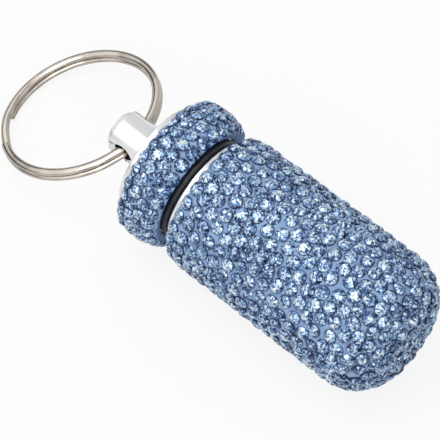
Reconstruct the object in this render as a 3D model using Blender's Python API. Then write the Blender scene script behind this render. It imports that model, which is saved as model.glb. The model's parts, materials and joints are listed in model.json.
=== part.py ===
"""A screw-top pill capsule on a split key ring.

Two turned aluminium parts, a tube and a cap, are coated with putty that is set all over with small stones.
The cap has a hollow threaded plug, a seal on its neck and a boss with a cross hole, which the key ring passes
through. The capsule lies on its side, with its long axis along X, the ring at -X and the closed end at +X.

Lengths are in metres. Along the long axis, a place is measured from the middle of the seal.
"""

import bisect
import math

import bmesh
import bpy
from mathutils import Vector

# Clearances and edges that all pieces share
PIECE_GAP = 0.0003
CUT_OVERRUN = 0.001
EDGE_BREAK = 0.0003

# Body tube
TUBE_RADIUS = 0.0085
TUBE_LENGTH = 0.036
TUBE_WALL = 0.0013
TUBE_FLOOR = 0.0015
TUBE_FLOOR_FILLET = 0.0012
TUBE_END_CHAMFER = 0.0006

# Seat of the seal, between the cap's shoulder and the tube's rim
SEAL_SEAT_WIDTH = 0.0015
SEAL_INSET = 0.00005

# Thread, the same on the plug and in the tube, half a pitch apart
THREAD_PITCH = 0.0015
THREAD_HEIGHT = 0.00065
THREAD_CLEARANCE = 0.0002
THREAD_CREST_WIDTH = 0.00025
THREAD_ROOT_WIDTH = 0.00075
THREAD_SETBACK = 0.00125
THREAD_TURNS = 2.5

# Cap
CAP_LENGTH = 0.00765
CAP_TOP_WALL = 0.0015
PLUG_LENGTH = 0.00685
PLUG_WALL = 0.00115
NECK_STEP = 0.00035
NECK_RELIEF = 0.0001

# Boss on the cap, with the cross hole for the key ring
BOSS_RADIUS = 0.0034
BOSS_HEIGHT = 0.0073
BOSS_CHAMFER = 0.00075
BOSS_FILLET = 0.0008
HOLE_RADIUS = 0.0016
HOLE_HEIGHT = 0.0041

# Stones and the putty that holds them
STONE_PITCH = 0.00235
STONE_RELIEF = 0.00045
SKIN_WALL = 0.0004
PUTTY_EDGE = 0.0003

# Coat of the body, over its side and its closed end
BODY_COAT_DEPTH = 0.00265
BODY_COAT_START = 0.0005
BODY_COAT_EDGE_DEPTH = 0.0011
BODY_SHOULDER_RADIUS = 0.006
BODY_END_RADIUS = 0.0062

# Coat of the cap, a belt that is round towards the disc and slopes down over the seal
CAP_COAT_DEPTH = 0.0029
CAP_COAT_EDGE_DEPTH = 0.0014
CAP_COAT_LENGTH = 0.0078
CAP_COAT_OVERHANG = 0.00075
CAP_COAT_RADIUS = 0.0025
CAP_SHOULDER_RADIUS = 0.006

# Split key ring: two loops of flat wire, which change layers between the wire's ends
RING_RADIUS = 0.01195
WIRE_WIDTH = 0.0011
WIRE_THICKNESS = 0.00066
WIRE_LAYER_GAP = 0.00043
WIRE_CHAMFER = 0.0002

# Angles round the key ring, from its far end towards +Y: the end of its upper loop, and the change of layers
RING_UPPER_END = math.radians(-85)
RING_LAYER_CHANGE = math.radians(60)

# Edges sharper than these angles stay sharp
TURNED_EDGE_ANGLE = math.radians(35)
WIRE_EDGE_ANGLE = math.radians(50)
RUBBER_EDGE_ANGLE = math.radians(60)

# Counts
TURN_STEPS = 40
COAT_STEPS = 32
HOLE_STEPS = 24
OUTLINE_ARC_STEPS = 24
ARC_STEPS = 6
FILLET_STEPS = 3
SEAL_SIDES = 8
RING_LOOP_STEPS = 24
LEAST_ROW_STONES = 5

# Shares
THREAD_FADE_SHARE = 0.1
ROW_PITCH_SHARE = math.sqrt(3) / 2
HONEYCOMB_SHARE = 1 / 6
SNAP_SHARE = 0.14
STONE_PHASE_SHARE = 0.25

# Places along the long axis, worked out from the sizes above
SHOULDER_X = -SEAL_SEAT_WIDTH / 2
RIM_X = SEAL_SEAT_WIDTH / 2
TUBE_END_X = RIM_X + TUBE_LENGTH
TUBE_FLOOR_X = TUBE_END_X - TUBE_FLOOR
PLUG_END_X = SHOULDER_X + PLUG_LENGTH
DISC_X = SHOULDER_X - CAP_LENGTH
BOSS_END_X = DISC_X - BOSS_HEIGHT
HOLE_X = DISC_X - HOLE_HEIGHT
TUBE_THREAD_X = RIM_X + THREAD_SETBACK
PLUG_THREAD_X = TUBE_THREAD_X - THREAD_PITCH / 2
BODY_COAT_END_X = TUBE_END_X + BODY_COAT_DEPTH

# Radii, worked out from the sizes above
CAVITY_RADIUS = TUBE_RADIUS - TUBE_WALL
TUBE_CREST_RADIUS = CAVITY_RADIUS - THREAD_HEIGHT
PLUG_CREST_RADIUS = CAVITY_RADIUS - THREAD_CLEARANCE
PLUG_ROOT_RADIUS = PLUG_CREST_RADIUS - THREAD_HEIGHT
PLUG_BORE_RADIUS = PLUG_ROOT_RADIUS - PLUG_WALL
NECK_RADIUS = PLUG_ROOT_RADIUS + NECK_STEP
SEAL_INNER_RADIUS = NECK_RADIUS + PIECE_GAP
SEAL_OUTER_RADIUS = TUBE_RADIUS - SEAL_INSET
COAT_BORE_RADIUS = TUBE_RADIUS + PIECE_GAP
BODY_COAT_RADIUS = TUBE_RADIUS + BODY_COAT_DEPTH
CAP_COAT_OUTER_RADIUS = TUBE_RADIUS + CAP_COAT_DEPTH
REST_HEIGHT = max(BODY_COAT_RADIUS, CAP_COAT_OUTER_RADIUS)

# Depths below the tips of the stones
VALLEY_INSET = STONE_RELIEF
SKIN_INSET = STONE_RELIEF + SKIN_WALL
PUTTY_INSET = SKIN_INSET + PIECE_GAP

DOWN_ANGLE = -math.pi / 2


def clear_scene():
    """Take every object out of the scene."""
    for item in list(bpy.data.objects):
        bpy.data.objects.remove(item, do_unlink=True)


def make_material(name, colour, metallic, roughness):
    """Return a Principled material of one colour."""
    material = bpy.data.materials.new(name)
    material.use_nodes = True
    shader = material.node_tree.nodes["Principled BSDF"]
    shader.inputs["Base Color"].default_value = (*colour, 1)
    shader.inputs["Metallic"].default_value = metallic
    shader.inputs["Roughness"].default_value = roughness
    material.diffuse_color = (*colour, 1)
    return material


def add_object(name, mesh_data, material, parent, location=(0, 0, 0)):
    """Close a bmesh into a named object, with its faces pointing out, and parent it."""
    bmesh.ops.recalc_face_normals(mesh_data, faces=mesh_data.faces)
    mesh = bpy.data.meshes.new(name)
    mesh_data.to_mesh(mesh)
    mesh_data.free()
    item = bpy.data.objects.new(name, mesh)
    if material is not None:
        mesh.materials.append(material)
    bpy.context.scene.collection.objects.link(item)
    item.parent = parent
    item.location = location
    return item


def smooth(item, sharp_angle):
    """Shade a round piece smooth, apart from its edges sharper than an angle."""
    item.data.shade_smooth()
    item.data.set_sharp_from_angle(angle=sharp_angle)


def on_axis(x, radius, angle):
    """Return the point at a radius and an angle about the long axis."""
    return Vector((x, radius * math.cos(angle), radius * math.sin(angle)))


def arc(centre_x, centre_radius, radius, start, end, steps):
    """Return profile points (x, r) on an arc, with angles from straight outwards towards +X."""
    angles = [start + (end - start) * step / steps for step in range(steps + 1)]
    return [(centre_x + radius * math.sin(a), centre_radius + radius * math.cos(a)) for a in angles]


def add_ring(mesh_data, x, radius, steps):
    """Return the vertices of one ring about the long axis, or one vertex on it."""
    if radius <= 0:
        return [mesh_data.verts.new((x, 0, 0))]
    return [mesh_data.verts.new(on_axis(x, radius, 2 * math.pi * step / steps)) for step in range(steps)]


def join_rings(mesh_data, first, second):
    """Fill between two rings of the same count, or between a ring and a point."""
    steps = max(len(first), len(second))
    for step in range(steps):
        after = (step + 1) % steps
        if len(first) == 1:
            mesh_data.faces.new((first[0], second[after], second[step]))
        elif len(second) == 1:
            mesh_data.faces.new((first[step], first[after], second[0]))
        else:
            mesh_data.faces.new((first[step], first[after], second[after], second[step]))


def fan(mesh_data, tip, chain):
    """Fill between a vertex and each pair of neighbours in a chain."""
    for first, second in zip(chain, chain[1:]):
        mesh_data.faces.new((tip, first, second))


def join_thread(mesh_data, low, high, start_x, wall_radius, crest_radius):
    """Fill the wall between two rings with one helical ridge, right-handed about +X.

    The ridge is a strip of four points a step. It rises from the wall and sinks back into it at its ends.
    """
    steps = len(low)
    last = round(THREAD_TURNS * steps)
    fade = THREAD_FADE_SHARE * last
    ridge = []
    for step in range(last + 1):
        middle = start_x + THREAD_PITCH * step / steps
        rise = min(1, step / fade, (last - step) / fade) * (crest_radius - wall_radius)
        angle = 2 * math.pi * step / steps
        ridge.append([
            mesh_data.verts.new(on_axis(middle - THREAD_ROOT_WIDTH / 2, wall_radius, angle)),
            mesh_data.verts.new(on_axis(middle - THREAD_CREST_WIDTH / 2, wall_radius + rise, angle)),
            mesh_data.verts.new(on_axis(middle + THREAD_CREST_WIDTH / 2, wall_radius + rise, angle)),
            mesh_data.verts.new(on_axis(middle + THREAD_ROOT_WIDTH / 2, wall_radius, angle)),
        ])
    for step in range(last):
        for near in range(3):
            corners = (ridge[step][near], ridge[step + 1][near], ridge[step + 1][near + 1], ridge[step][near + 1])
            mesh_data.faces.new(corners)
    for step in range(last - steps):
        next_turn = step + steps
        corners = (ridge[step][3], ridge[step + 1][3], ridge[next_turn + 1][0], ridge[next_turn][0])
        mesh_data.faces.new(corners)
    for step in range(steps - 1):
        mesh_data.faces.new((low[step], low[step + 1], ridge[step + 1][0], ridge[step][0]))
    fan(mesh_data, low[-1], [low[0], *ridge[0], ridge[steps][0], ridge[steps - 1][0]])
    first = last - steps
    chain = [ridge[first][3], *ridge[last], high[last % steps], high[(last + 1) % steps]]
    fan(mesh_data, ridge[first + 1][3], chain)
    for step in range(first + 1, last):
        corners = (ridge[step][3], ridge[step + 1][3], high[(step + 1) % steps], high[step % steps])
        mesh_data.faces.new(corners)


def turned(profile, steps, closed=False, thread=None):
    """Return a bmesh turned about the long axis from a profile of (x, r) points.

    A closed profile makes a ring. A thread is (index, start x, wall radius, crest radius), and lies between
    the profile's points at index and after it, which are in order of x there.
    """
    mesh_data = bmesh.new()
    rings = [add_ring(mesh_data, x, radius, steps) for x, radius in profile]
    pairs = list(zip(rings, rings[1:]))
    if closed:
        pairs.append((rings[-1], rings[0]))
    for index, (first, second) in enumerate(pairs):
        if thread is not None and index == thread[0]:
            join_thread(mesh_data, first, second, *thread[1:])
        else:
            join_rings(mesh_data, first, second)
    return mesh_data


class Outline:
    """The line that the tips of a coat's stones follow, read by the distance along it."""

    def __init__(self, points):
        """Take (x, r) points in order and measure the distance to each."""
        self.points = [Vector(point) for point in points]
        self.reach = [0]
        for first, second in zip(self.points, self.points[1:]):
            self.reach.append(self.reach[-1] + (second - first).length)
        self.length = self.reach[-1]

    def at(self, distance, inset=0):
        """Return (x, r) at a distance along the line, and so far inside it."""
        after = min(max(bisect.bisect(self.reach, distance), 1), len(self.points) - 1)
        start = self.points[after - 1]
        run = self.points[after] - start
        share = (distance - self.reach[after - 1]) / run.length
        point = start + run * share
        inwards = Vector((run.y, -run.x)).normalized()
        return point + inwards * inset


def body_shoulder():
    """Return the slope of the body coat's shoulder at the mouth, and its arc's centre (x, r)."""
    drop = BODY_COAT_DEPTH - BODY_COAT_EDGE_DEPTH
    slope = math.acos(1 - drop / BODY_SHOULDER_RADIUS)
    centre_x = RIM_X + BODY_COAT_START + BODY_SHOULDER_RADIUS * math.sin(slope)
    return slope, (centre_x, BODY_COAT_RADIUS - BODY_SHOULDER_RADIUS)


def body_end_centre():
    """Return the centre (x, r) of the arc round the body coat's closed end."""
    return BODY_COAT_END_X - BODY_END_RADIUS, BODY_COAT_RADIUS - BODY_END_RADIUS


def body_outline():
    """Return the body coat's outline, from the mouth over the shoulder and the side to the end's middle."""
    slope, shoulder = body_shoulder()
    points = arc(*shoulder, BODY_SHOULDER_RADIUS, -slope, 0, OUTLINE_ARC_STEPS)
    points += arc(*body_end_centre(), BODY_END_RADIUS, 0, math.pi / 2, OUTLINE_ARC_STEPS)
    points.append((BODY_COAT_END_X, 0))
    return Outline(points)


def body_inner_profile(inset, edge):
    """Return a surface inside the body coat, from so far above its bore to the end's middle."""
    _, shoulder = body_shoulder()
    radius = BODY_SHOULDER_RADIUS - inset
    start = -math.acos(min(1, (COAT_BORE_RADIUS + edge - shoulder[1]) / radius))
    points = arc(*shoulder, radius, start, 0, FILLET_STEPS)
    points += arc(*body_end_centre(), BODY_END_RADIUS - inset, 0, math.pi / 2, ARC_STEPS)
    points.append((BODY_COAT_END_X - inset, 0))
    return points


def cap_round_centre():
    """Return the centre (x, r) of the arc that rounds the cap coat towards the disc."""
    near_x = SHOULDER_X + CAP_COAT_OVERHANG - CAP_COAT_LENGTH
    return near_x + CAP_COAT_RADIUS, CAP_COAT_OUTER_RADIUS - CAP_COAT_RADIUS


def cap_shoulder():
    """Return the slope of the cap coat's shoulder over the seal, and its arc's centre (x, r)."""
    drop = CAP_COAT_DEPTH - CAP_COAT_EDGE_DEPTH
    slope = math.acos(1 - drop / CAP_SHOULDER_RADIUS)
    centre_x = SHOULDER_X + CAP_COAT_OVERHANG - CAP_SHOULDER_RADIUS * math.sin(slope)
    return slope, (centre_x, CAP_COAT_OUTER_RADIUS - CAP_SHOULDER_RADIUS)


def cap_outline():
    """Return the cap coat's outline, from the disc's side over the belt to the tube's side."""
    slope, shoulder = cap_shoulder()
    points = arc(*cap_round_centre(), CAP_COAT_RADIUS, -math.pi / 2, 0, OUTLINE_ARC_STEPS)
    points += arc(*shoulder, CAP_SHOULDER_RADIUS, 0, slope, OUTLINE_ARC_STEPS)
    return Outline(points)


def cap_inner_profile(inset, edge):
    """Return a surface inside the cap coat, from so far above its bore to behind its lip over the seal."""
    centre = cap_round_centre()
    radius = CAP_COAT_RADIUS - inset
    start = -math.acos(min(1, (COAT_BORE_RADIUS + edge - centre[1]) / radius))
    points = arc(*centre, radius, start, 0, FILLET_STEPS)
    slope, shoulder = cap_shoulder()
    lip_reach = (CAP_SHOULDER_RADIUS - VALLEY_INSET) * math.sin(slope)
    radius = CAP_SHOULDER_RADIUS - inset
    end = math.asin((lip_reach - (inset - VALLEY_INSET)) / radius)
    points += arc(*shoulder, radius, 0, end, FILLET_STEPS)
    return points


def corner_angles(count, phase):
    """Return the angles between the stones of a row, whose stones are counted from straight down."""
    return [(DOWN_ANGLE + 2 * math.pi * (place + phase) / count) % (2 * math.pi) for place in range(count)]


def merged_corners(below, above, reach):
    """Return (angle, side) for the corners of two rows along the line between them, in order of angle.

    The side is -1 for a corner of the row below, 1 for one of the row above, and 0 where two corners lie
    within reach of each other and become one.
    """
    turn = 2 * math.pi
    corners = []
    free = list(above)
    for angle in below:
        close = [other for other in free if abs((other - angle + math.pi) % turn - math.pi) < reach]
        if close:
            free.remove(close[0])
        corners.append((angle, 0 if close else -1, close[0] if close else None))
    corners += [(angle, 1, None) for angle in free]
    return sorted(corners, key=lambda corner: corner[0])


def stone_rows(outline, closed_end):
    """Return the number of rows on an outline, their pitch along it, and each row's count of stones."""
    row_pitch = STONE_PITCH * ROW_PITCH_SHARE
    if closed_end:
        rows = round(outline.length / row_pitch - 1 / 2)
        row_pitch = outline.length / (rows + 1 / 2)
    else:
        rows = round(outline.length / row_pitch)
        row_pitch = outline.length / rows
    counts = []
    for row in range(rows):
        radius = outline.at((row + 1 / 2) * row_pitch).y
        counts.append(max(LEAST_ROW_STONES, round(2 * math.pi * radius / STONE_PITCH)))
    return row_pitch, counts


def cell_chain(line, start, end):
    """Return a line's vertices from the corner at one angle to the corner at the next, both included."""
    turn = 2 * math.pi
    span = (end - start) % turn
    slack = span * SNAP_SHARE / 2
    chain = []
    for angles, vertex in line:
        ahead = min((angle - start + slack) % turn - slack for angle in angles)
        if ahead < span + slack:
            chain.append((ahead, vertex))
    chain.sort(key=lambda entry: entry[0])
    return [vertex for _, vertex in chain]


def add_stones(mesh_data, outline, closed_end):
    """Lay rows of stones along an outline, like bricks, and return the first and last lines of vertices.

    Each stone is a low pyramid on the cell that its neighbours leave it, with its tip on the outline.
    """
    row_pitch, counts = stone_rows(outline, closed_end)
    corners = []
    for row, count in enumerate(counts):
        phase = 1 / 2 + STONE_PHASE_SHARE * (1 if row % 2 else -1)
        corners.append(sorted(corner_angles(count, phase)))
    lines = []
    for place in range(len(counts) + 1):
        below = corners[place - 1] if place > 0 else []
        above = corners[place] if place < len(counts) else []
        reach = SNAP_SHARE * 2 * math.pi / max(len(below), len(above))
        line = []
        for angle, side, twin in merged_corners(below, above, reach):
            shift = side * HONEYCOMB_SHARE if below and above else 0
            x, radius = outline.at((place + shift) * row_pitch, VALLEY_INSET)
            vertex = mesh_data.verts.new(on_axis(x, radius, angle))
            line.append(((angle,) if twin is None else (angle, twin), vertex))
        lines.append(line)
    for row, angles in enumerate(corners):
        for place, start in enumerate(angles):
            end = angles[(place + 1) % len(angles)]
            half_span = ((end - start) % (2 * math.pi)) / 2
            tip_x, tip_radius = outline.at((row + 1 / 2) * row_pitch)
            tip = mesh_data.verts.new(on_axis(tip_x, tip_radius, start + half_span))
            near = cell_chain(lines[row], start, end)
            far = cell_chain(lines[row + 1], start, end)
            rim = near + far[::-1]
            fan(mesh_data, tip, [*rim, rim[0]])
    if closed_end:
        tip = mesh_data.verts.new(on_axis(*outline.at(outline.length), 0))
        rim = [vertex for _, vertex in lines[-1]]
        fan(mesh_data, tip, [*rim, rim[0]])
    return lines[0], lines[-1]


def bridge_lines(mesh_data, line, ring):
    """Fill between a line of vertices in order of angle and an even ring, whatever their counts."""
    turn = 2 * math.pi
    first = [(angles[0], vertex) for angles, vertex in line]
    start = first[0][0]
    nearest = round(start / turn * len(ring))
    second = []
    for step in range(len(ring) + 1):
        place = nearest + step
        second.append((place * turn / len(ring), ring[place % len(ring)]))
    first.append((first[0][0] + turn, first[0][1]))
    at_first = 0
    at_second = 0
    while at_first < len(first) - 1 or at_second < len(second) - 1:
        ends_first = at_first == len(first) - 1
        ends_second = at_second == len(second) - 1
        step_first = not ends_first and (ends_second or first[at_first + 1][0] < second[at_second + 1][0])
        if step_first:
            corners = (first[at_first][1], first[at_first + 1][1], second[at_second][1])
            at_first += 1
        else:
            corners = (first[at_first][1], second[at_second + 1][1], second[at_second][1])
            at_second += 1
        mesh_data.faces.new(corners)


def build_body_tube(material, parent):
    """Turn the tube: closed at +X, with its thread inside the mouth."""
    profile = [
        (TUBE_END_X, 0),
        (TUBE_END_X, TUBE_RADIUS - TUBE_END_CHAMFER),
        (TUBE_END_X - TUBE_END_CHAMFER, TUBE_RADIUS),
        (RIM_X + EDGE_BREAK, TUBE_RADIUS),
        (RIM_X, TUBE_RADIUS - EDGE_BREAK),
        (RIM_X, CAVITY_RADIUS + EDGE_BREAK),
        (RIM_X + EDGE_BREAK, CAVITY_RADIUS),
    ]
    thread = (len(profile) - 1, TUBE_THREAD_X, CAVITY_RADIUS, TUBE_CREST_RADIUS)
    fillet_x = TUBE_FLOOR_X - TUBE_FLOOR_FILLET
    profile += arc(fillet_x, CAVITY_RADIUS - TUBE_FLOOR_FILLET, TUBE_FLOOR_FILLET, 0, math.pi / 2, FILLET_STEPS)
    profile.append((TUBE_FLOOR_X, 0))
    tube = add_object("body_tube", turned(profile, TURN_STEPS, thread=thread), material, parent)
    smooth(tube, TURNED_EDGE_ANGLE)
    return tube


def build_cap_shell(material, parent):
    """Turn the cap with its boss and plug, and cut the cross hole through the boss."""
    neck_end_x = RIM_X - NECK_RELIEF
    profile = [
        (BOSS_END_X, 0),
        (BOSS_END_X, BOSS_RADIUS - BOSS_CHAMFER),
        (BOSS_END_X + BOSS_CHAMFER, BOSS_RADIUS),
    ]
    fillet_centre = (DISC_X - BOSS_FILLET, BOSS_RADIUS + BOSS_FILLET)
    profile += arc(*fillet_centre, BOSS_FILLET, math.pi, math.pi / 2, FILLET_STEPS)
    profile += [
        (DISC_X, TUBE_RADIUS - EDGE_BREAK),
        (DISC_X + EDGE_BREAK, TUBE_RADIUS),
        (SHOULDER_X - EDGE_BREAK, TUBE_RADIUS),
        (SHOULDER_X, TUBE_RADIUS - EDGE_BREAK),
        (SHOULDER_X, NECK_RADIUS),
        (neck_end_x - NECK_STEP, NECK_RADIUS),
        (neck_end_x, PLUG_ROOT_RADIUS),
    ]
    thread = (len(profile) - 1, PLUG_THREAD_X, PLUG_ROOT_RADIUS, PLUG_CREST_RADIUS)
    profile += [
        (PLUG_END_X - EDGE_BREAK, PLUG_ROOT_RADIUS),
        (PLUG_END_X, PLUG_ROOT_RADIUS - EDGE_BREAK),
        (PLUG_END_X, PLUG_BORE_RADIUS),
        (DISC_X + CAP_TOP_WALL, PLUG_BORE_RADIUS),
        (DISC_X + CAP_TOP_WALL, 0),
    ]
    cap = add_object("cap_shell", turned(profile, TURN_STEPS, thread=thread), material, parent)

    cutter_data = bmesh.new()
    rings = []
    for side in (-1, 1):
        reach = side * (BOSS_RADIUS + CUT_OVERRUN)
        ring = []
        for step in range(HOLE_STEPS):
            angle = 2 * math.pi * step / HOLE_STEPS
            place = (HOLE_RADIUS * math.cos(angle), reach, HOLE_RADIUS * math.sin(angle))
            ring.append(cutter_data.verts.new(place))
        rings.append(ring)
        cutter_data.faces.new(ring)
    join_rings(cutter_data, *rings)
    cutter = add_object("cross_hole_cutter", cutter_data, None, parent, (HOLE_X, 0, 0))
    cutter.hide_render = True
    cutter.display_type = "WIRE"

    cut = cap.modifiers.new("cross_hole", "BOOLEAN")
    cut.operation = "DIFFERENCE"
    cut.object = cutter
    smooth(cap, TURNED_EDGE_ANGLE)
    return cap


def build_seal(material, parent):
    """Turn the rubber seal, a soft oval in section, round the cap's neck."""
    middle = (SEAL_INNER_RADIUS + SEAL_OUTER_RADIUS) / 2
    half_depth = (SEAL_OUTER_RADIUS - SEAL_INNER_RADIUS) / 2
    half_width = SEAL_SEAT_WIDTH / 2 - PIECE_GAP
    spread = 1 / math.cos(math.pi / SEAL_SIDES)
    profile = []
    for side in range(SEAL_SIDES):
        angle = 2 * math.pi * (side + 1 / 2) / SEAL_SIDES
        x = half_width * spread * math.cos(angle)
        profile.append((x, middle + half_depth * spread * math.sin(angle)))
    seal = add_object("o_ring", turned(profile, TURN_STEPS, closed=True), material, parent)
    smooth(seal, RUBBER_EDGE_ANGLE)
    return seal


def build_body_putty(material, parent):
    """Turn the body's putty, a cup between the tube and the skin of stones."""
    profile = [(TUBE_END_X + PIECE_GAP, 0), (TUBE_END_X + PIECE_GAP, COAT_BORE_RADIUS)]
    outer = body_inner_profile(PUTTY_INSET, PUTTY_EDGE)
    profile.append((outer[0][0], COAT_BORE_RADIUS))
    profile += outer
    putty = add_object("body_putty", turned(profile, COAT_STEPS), material, parent)
    smooth(putty, TURNED_EDGE_ANGLE)
    return putty


def build_cap_putty(material, parent):
    """Turn the cap's putty, a band between the cap and its skin of stones."""
    outer = cap_inner_profile(PUTTY_INSET, PUTTY_EDGE)
    profile = [(outer[0][0], COAT_BORE_RADIUS), *outer, (outer[-1][0], COAT_BORE_RADIUS)]
    putty = add_object("cap_putty", turned(profile, COAT_STEPS, closed=True), material, parent)
    smooth(putty, TURNED_EDGE_ANGLE)
    return putty


def build_body_stones(material, parent):
    """Lay the body's stones and close the skin that joins them with its inner wall."""
    mesh_data = bmesh.new()
    first_line, _ = add_stones(mesh_data, body_outline(), closed_end=True)
    edge_x = first_line[0][1].co.x
    profile = [(edge_x, COAT_BORE_RADIUS), *body_inner_profile(SKIN_INSET, 0)]
    rings = [add_ring(mesh_data, x, radius, COAT_STEPS) for x, radius in profile]
    bridge_lines(mesh_data, first_line, rings[0])
    for first, second in zip(rings, rings[1:]):
        join_rings(mesh_data, first, second)
    return add_object("body_stones", mesh_data, material, parent)


def build_cap_stones(material, parent):
    """Lay the cap's stones and close the skin that joins them with its inner wall."""
    mesh_data = bmesh.new()
    first_line, last_line = add_stones(mesh_data, cap_outline(), closed_end=False)
    inner = cap_inner_profile(SKIN_INSET, 0)
    places = (first_line[0][1].co.x, inner[-1][0], last_line[0][1].co.x)
    bore = [(x, COAT_BORE_RADIUS) for x in places]
    profile = [bore[0], *inner, *bore[1:]]
    rings = [add_ring(mesh_data, x, radius, COAT_STEPS) for x, radius in profile]
    bridge_lines(mesh_data, first_line, rings[0])
    for first, second in zip(rings, rings[1:]):
        join_rings(mesh_data, first, second)
    bridge_lines(mesh_data, last_line, rings[-1])
    return add_object("cap_stones", mesh_data, material, parent)


def ring_slope():
    """Return the angle below level at which the key ring's far end reaches the floor."""
    far = 2 * RING_RADIUS + WIRE_WIDTH / 2
    half_height = WIRE_THICKNESS + WIRE_LAYER_GAP / 2
    return math.asin(REST_HEIGHT / math.hypot(far, half_height)) - math.atan2(half_height, far)


def wire_section():
    """Return the wire's section as (outwards, upwards) places, a flat bar with its corners taken off."""
    width = WIRE_WIDTH / 2
    height = WIRE_THICKNESS / 2
    section = []
    for out, up in ((1, 1), (-1, 1), (-1, -1), (1, -1)):
        corners = [(out * width, up * (height - WIRE_CHAMFER)), (out * (width - WIRE_CHAMFER), up * height)]
        section += corners if out * up > 0 else corners[::-1]
    return section


def least_gap(loops, steps_apart):
    """Return the least distance between the wire's points that lie so many steps apart along it."""
    least = math.inf
    for place, section in enumerate(loops):
        for other in loops[place + steps_apart:]:
            least = min(least, min((a.co - b.co).length for a in section for b in other))
    return least


def build_split_ring(material, parent):
    """Sweep the flat wire round its two loops as one tube, open where the layers change."""
    change_steps = round(RING_LAYER_CHANGE / (2 * math.pi) * RING_LOOP_STEPS)
    level_steps = RING_LOOP_STEPS - change_steps
    lift = (WIRE_THICKNESS + WIRE_LAYER_GAP) / 2
    centre = Vector((-RING_RADIUS, 0, 0))
    mesh_data = bmesh.new()
    loops = []
    for step in range(2 * level_steps + change_steps + 1):
        angle = RING_UPPER_END - 2 * math.pi * step / RING_LOOP_STEPS
        change = min(max((step - level_steps) / change_steps, 0), 1)
        level = lift * math.cos(math.pi * change)
        outwards = Vector((-math.cos(angle), math.sin(angle), 0))
        loop = []
        for out, up in wire_section():
            place = centre + outwards * (RING_RADIUS + out) + Vector((0, 0, level + up))
            loop.append(mesh_data.verts.new(place))
        loops.append(loop)
    for first, second in zip(loops, loops[1:]):
        join_rings(mesh_data, first, second)
    mesh_data.faces.new(loops[0])
    mesh_data.faces.new(loops[-1])
    print(f"key ring: least gap to itself {least_gap(loops, level_steps) * 1000:.3f} mm")
    ring = add_object("split_ring", mesh_data, material, parent, (HOLE_X, 0, 0))
    ring.rotation_euler = (0, -ring_slope(), 0)
    smooth(ring, WIRE_EDGE_ANGLE)
    return ring


def seat_on_floor(root, pieces):
    """Move the root so that the bottom of the pieces' common box is centred on the origin."""
    bpy.context.view_layer.update()
    corners = [piece.matrix_world @ vertex.co for piece in pieces for vertex in piece.data.vertices]
    low = [min(corner[axis] for corner in corners) for axis in range(3)]
    high = [max(corner[axis] for corner in corners) for axis in range(3)]
    root.location = (-(low[0] + high[0]) / 2, -(low[1] + high[1]) / 2, -low[2])
    bpy.context.view_layer.update()
    print("long axis through the seal's middle:", [round(value, 6) for value in root.location])
    print("cross hole's middle:", [round(value, 6) for value in root.matrix_world @ Vector((HOLE_X, 0, 0))])
    print("key ring's slope in degrees:", round(math.degrees(ring_slope()), 3))


def main():
    """Build the capsule."""
    clear_scene()
    root = bpy.data.objects.new("capsule", None)
    bpy.context.scene.collection.objects.link(root)

    aluminium = make_material("polished_aluminium", (0.86, 0.87, 0.88), 1, 0.16)
    stones = make_material("light_blue_stones", (0.36, 0.5, 0.74), 0, 0.12)
    putty = make_material("grey_blue_putty", (0.3, 0.38, 0.55), 0, 0.7)
    rubber = make_material("black_rubber", (0.02, 0.02, 0.022), 0, 0.5)
    nickel = make_material("nickel_plate", (0.66, 0.62, 0.57), 1, 0.14)

    pieces = [
        build_body_tube(aluminium, root),
        build_body_putty(putty, root),
        build_body_stones(stones, root),
        build_cap_shell(aluminium, root),
        build_cap_putty(putty, root),
        build_cap_stones(stones, root),
        build_seal(rubber, root),
        build_split_ring(nickel, root),
    ]
    seat_on_floor(root, pieces)


main()
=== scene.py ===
"""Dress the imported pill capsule: turned aluminium, set stones, rubber seal and split key ring.

The frame fixes every place and main size. This script makes the fine pieces to them, gives each its finish,
and sets them on a pale floor in soft studio light.

Lengths are in metres, and the angles that the classes hold are in degrees. A place along the long axis is
measured from the seal's middle, towards the closed end.
"""

import json
import logging
import math
from dataclasses import dataclass
from enum import Enum
from typing import Any, ClassVar, Iterable, Sequence

import bmesh
import bpy
import numpy as np
from mathutils import Matrix, Vector


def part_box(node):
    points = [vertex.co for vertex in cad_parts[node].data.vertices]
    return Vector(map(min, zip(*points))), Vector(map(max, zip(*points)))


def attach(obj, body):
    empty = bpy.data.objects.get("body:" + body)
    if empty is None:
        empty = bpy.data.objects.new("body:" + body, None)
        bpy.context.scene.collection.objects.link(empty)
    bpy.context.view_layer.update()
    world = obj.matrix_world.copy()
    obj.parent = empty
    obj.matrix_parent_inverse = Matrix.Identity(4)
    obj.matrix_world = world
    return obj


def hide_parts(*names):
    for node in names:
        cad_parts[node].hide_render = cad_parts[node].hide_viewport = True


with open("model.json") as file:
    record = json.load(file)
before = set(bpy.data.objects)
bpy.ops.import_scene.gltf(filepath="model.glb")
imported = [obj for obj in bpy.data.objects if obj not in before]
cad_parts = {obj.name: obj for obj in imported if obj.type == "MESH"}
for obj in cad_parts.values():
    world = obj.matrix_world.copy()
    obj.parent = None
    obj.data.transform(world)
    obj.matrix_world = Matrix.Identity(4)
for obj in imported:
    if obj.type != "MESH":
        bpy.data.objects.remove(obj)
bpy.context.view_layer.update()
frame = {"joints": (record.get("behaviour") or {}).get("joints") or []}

TURN = 2 * math.pi
WHITE = (1, 1, 1, 1)
Colour = tuple[float, float, float]
Profile = list[tuple[float, float]]

log = logging.getLogger("pill_capsule")


class Body(Enum):
    """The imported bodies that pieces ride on."""

    CONTAINER = "container"
    SEAL = "seal"
    CAP = "cap"
    KEY_RING = "key_ring"


class Slot(Enum):
    """The record's names for the finishes."""

    ALUMINIUM = "polished_aluminium"
    PUTTY = "putty"
    STONES = "stones"
    RUBBER = "black_rubber"
    NICKEL = "nickel"


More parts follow.
